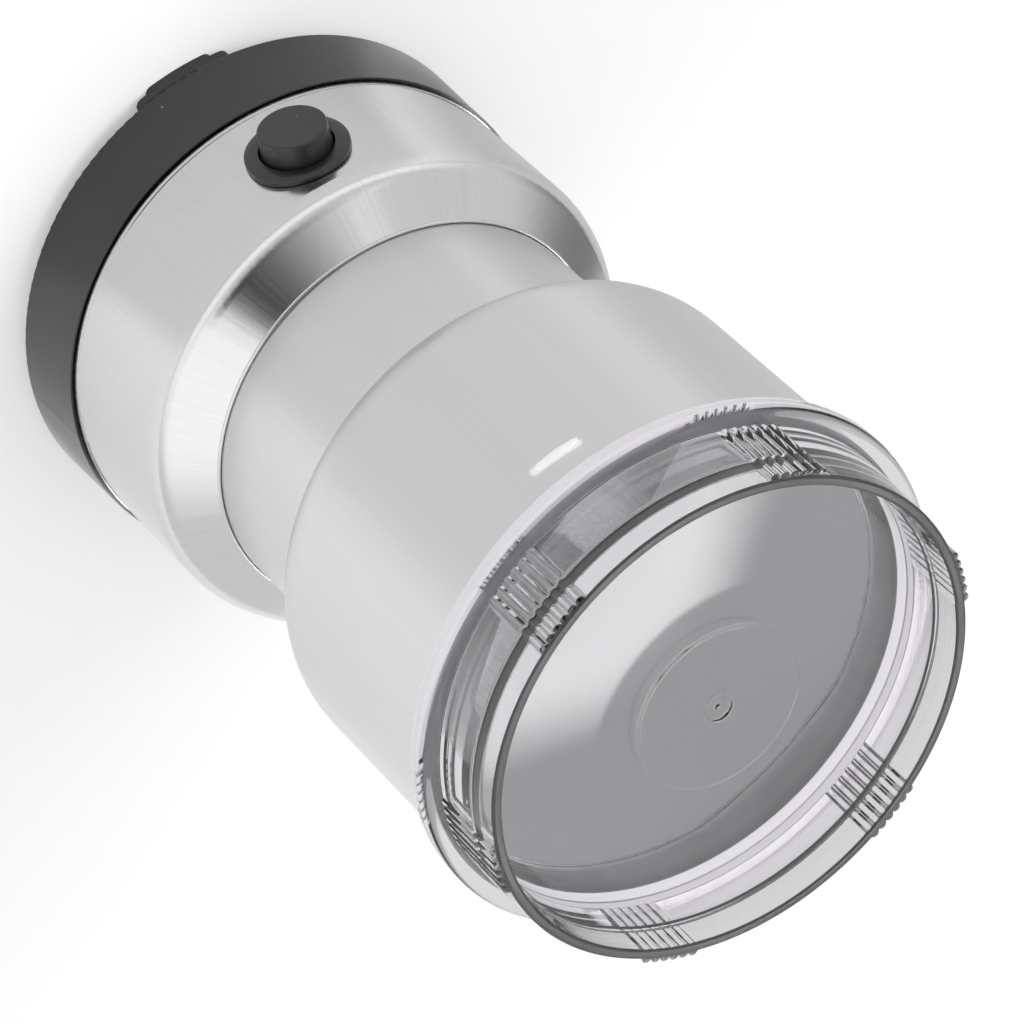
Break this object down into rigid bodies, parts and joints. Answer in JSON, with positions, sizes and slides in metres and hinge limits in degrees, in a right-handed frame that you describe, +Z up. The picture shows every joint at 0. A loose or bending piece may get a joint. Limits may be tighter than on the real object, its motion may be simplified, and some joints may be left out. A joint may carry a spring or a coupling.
{
  "type": "electric spice grinder",
  "caption": "Upright electric spice grinder with a push button in its steel skirt, a narrow waist, a steel cup with blade, and a clear lift-off lid.",
  "frame": {"origin": "middle of the outline box at table level; the grinder's own axis stands 1.45 mm behind it, because the button stands out in front", "axes": "+Z up along the grinder's axis, the push button faces -Y"},
  "size_m": [0.104, 0.1068, 0.1682],
  "materials": {
    "rubber": "matt moulded rubber",
    "base_plastic": "fine-textured black moulding",
    "button_plastic": "satin black moulding",
    "brushed_steel": "brushed stainless steel",
    "satin_steel": "satin stainless steel",
    "blade_steel": "ground stainless steel",
    "clear_plastic": "clear moulded plastic",
    "plated_steel": "zinc-plated steel",
    "dark_plastic": "glass-filled moulding",
    "core_iron": "stacked laminations",
    "bracket_metal": "die-cast",
    "copper": "varnished copper wire",
    "brass": "pressed brass",
    "carbon": "pressed carbon"
  },
  "bodies": {
    "housing": {"foot_pads": "rubber", "motor_mounts": "rubber", "shaft_seal": "rubber", "base_cup": "base_plastic", "switch_bezel": "button_plastic", "lower_shell": "brushed_steel", "upper_shell": "satin_steel", "grinding_bowl": "satin_steel", "base_screws": "plated_steel", "motor_bolts": "plated_steel", "brush_springs": "plated_steel", "button_spring": "plated_steel", "bowl_nut": "plated_steel", "motor_carrier": "dark_plastic", "lower_bracket": "dark_plastic", "switch_nut": "dark_plastic", "switch_body": "dark_plastic", "bowl_bush": "dark_plastic", "stator_core": "core_iron", "upper_bracket": "bracket_metal", "field_coils": "copper", "brush_holders": "brass", "switch_terminals": "brass", "upper_bearing": "brass", "lower_bearing": "brass", "carbon_brushes": "carbon"},
    "rotor": {"motor_shaft": "blade_steel", "armature_core": "core_iron", "armature_winding": "copper", "commutator": "copper", "cooling_fan": "dark_plastic", "blade_hub": "dark_plastic", "grinding_blade": "blade_steel", "blade_nut": "blade_steel"},
    "lid": {"lid": "clear_plastic"},
    "button": {"button_cap": "button_plastic"}
  },
  "joints": [
    {"name": "lid_lift", "type": "slide", "parent": "housing", "child": "lid", "axis": [0, 0, 1], "range_m": [0, 0.06]},
    {"name": "rotor_spin", "type": "hinge", "parent": "housing", "child": "rotor", "pos_m": [0, 0.00145, 0.06], "axis": [0, 0, 1], "continuous": true},
    {"name": "button_press", "type": "slide", "parent": "housing", "child": "button", "axis": [0, 1, 0], "range_m": [0, 0.0025], "stiffness_N_per_m": 500, "deforming": ["button_spring"]}
  ]
}
